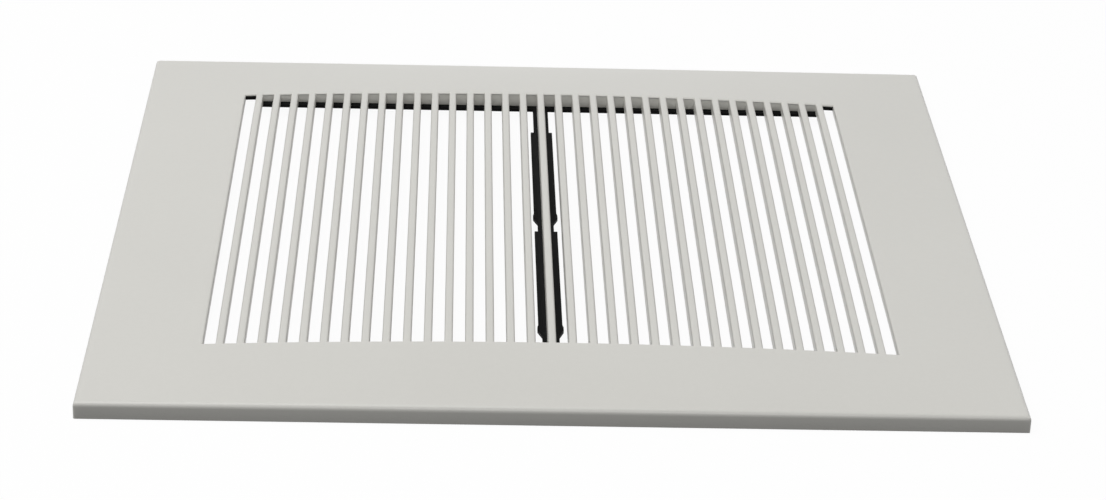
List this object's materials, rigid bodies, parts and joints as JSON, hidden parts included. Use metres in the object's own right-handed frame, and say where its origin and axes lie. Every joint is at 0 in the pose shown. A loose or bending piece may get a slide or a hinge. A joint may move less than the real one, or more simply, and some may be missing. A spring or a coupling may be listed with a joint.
{
  "type": "exhaust fan grille",
  "caption": "Gently crowned rectangular grille for an exhaust fan: plain border, straight narrow slots between moulded bars, a short rim, and a dark brace and gasket on its back.",
  "frame": {"origin": "under the middle of the face, on the plane that the rim stands on", "axes": "+X along the long side of the face, +Y from the front edge to the back edge, +Z out of the face"},
  "size_m": [0.3556, 0.3302, 0.013],
  "materials": {
    "panel_plastic": "fine satin, light warm grey",
    "gasket_foam": "matt closed-cell foam, black",
    "black_steel": "semi-gloss black paint",
    "screw_steel": "bright zinc plate"
  },
  "bodies": {
    "root": {"face_panel": "panel_plastic", "foam_gasket": "gasket_foam", "back_brace": "black_steel", "brace_screws": "screw_steel"}
  },
  "joints": []
}
